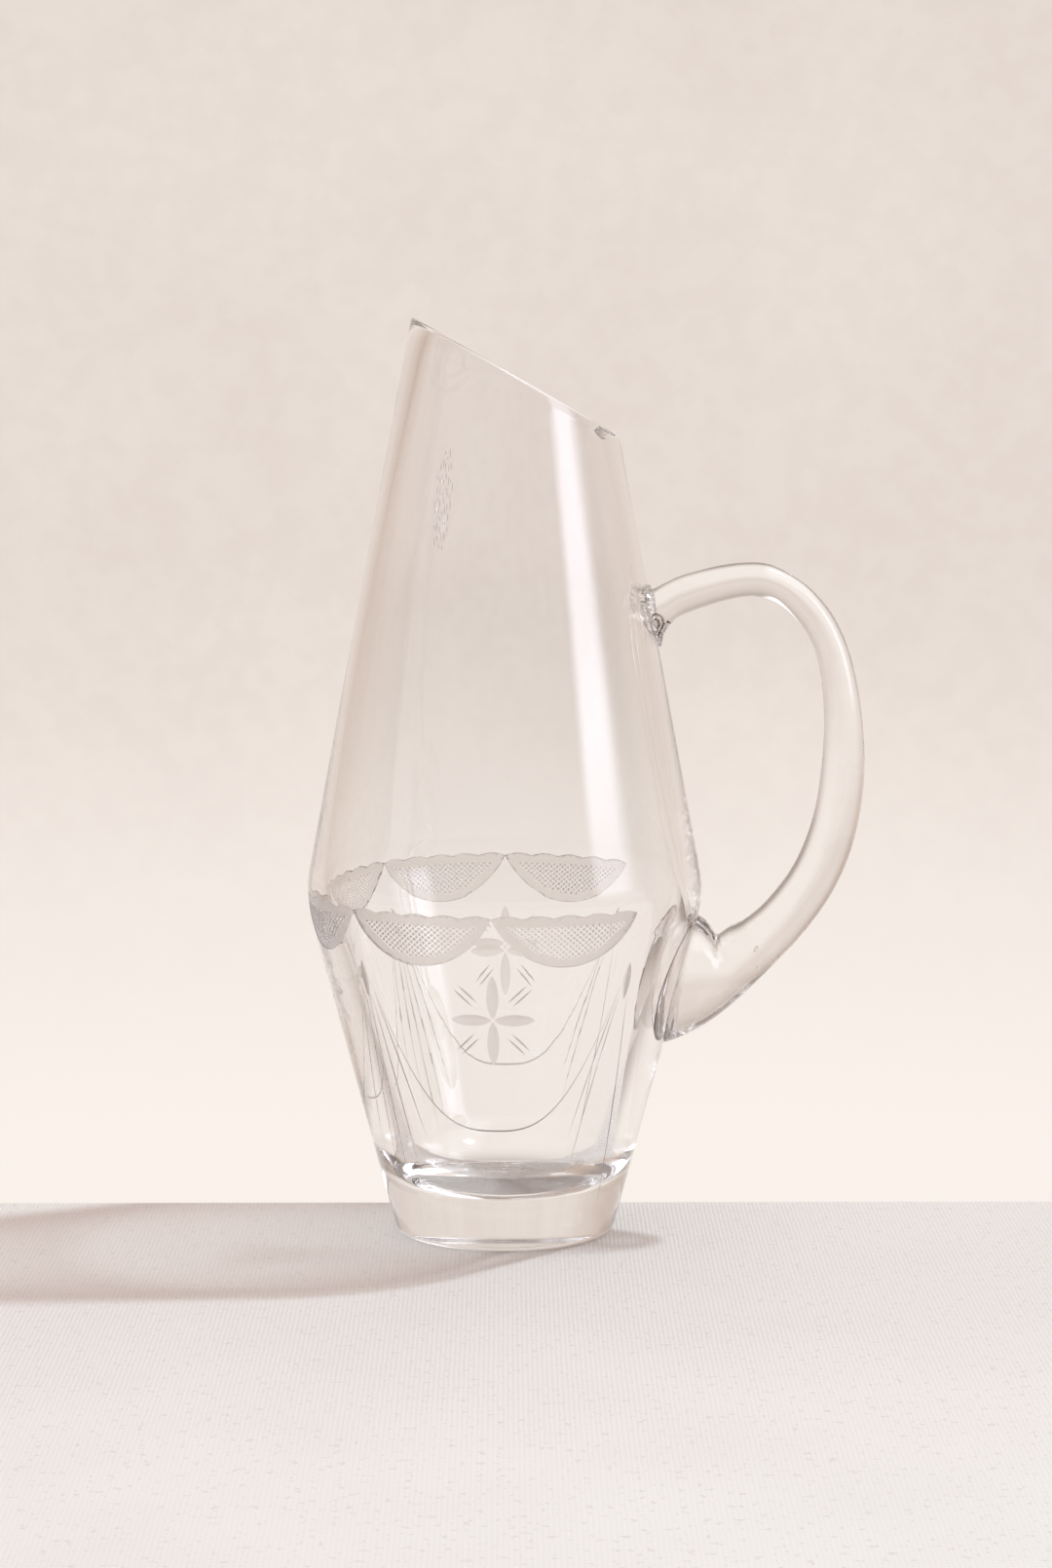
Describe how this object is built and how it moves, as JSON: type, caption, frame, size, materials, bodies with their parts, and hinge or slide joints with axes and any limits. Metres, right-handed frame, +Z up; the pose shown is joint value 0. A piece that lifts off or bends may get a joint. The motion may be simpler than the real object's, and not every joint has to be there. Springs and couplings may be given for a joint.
{
  "type": "cocktail pitcher",
  "caption": "Tall clear glass pitcher with a slant-cut pouring mouth, a heavy solid bottom, a drawn side handle and a cut swag ornament.",
  "frame": {"origin": "middle of the flat foot, on the surface that the pitcher stands on", "axes": "+Z up along the vessel's axis, +X from the axis towards the handle, so the pouring tip points to -X"},
  "size_m": [0.1703, 0.1206, 0.28],
  "materials": {
    "vessel_glass": "clear, polished, with satin and finely cut ornament",
    "base_glass": "clear, thick, polished",
    "handle_glass": "clear, fire-polished, with a few small bubbles"
  },
  "bodies": {
    "root": {"vessel": "vessel_glass", "base": "base_glass", "upper_seal": "handle_glass", "handle": "handle_glass", "lower_seal": "handle_glass"}
  },
  "joints": []
}
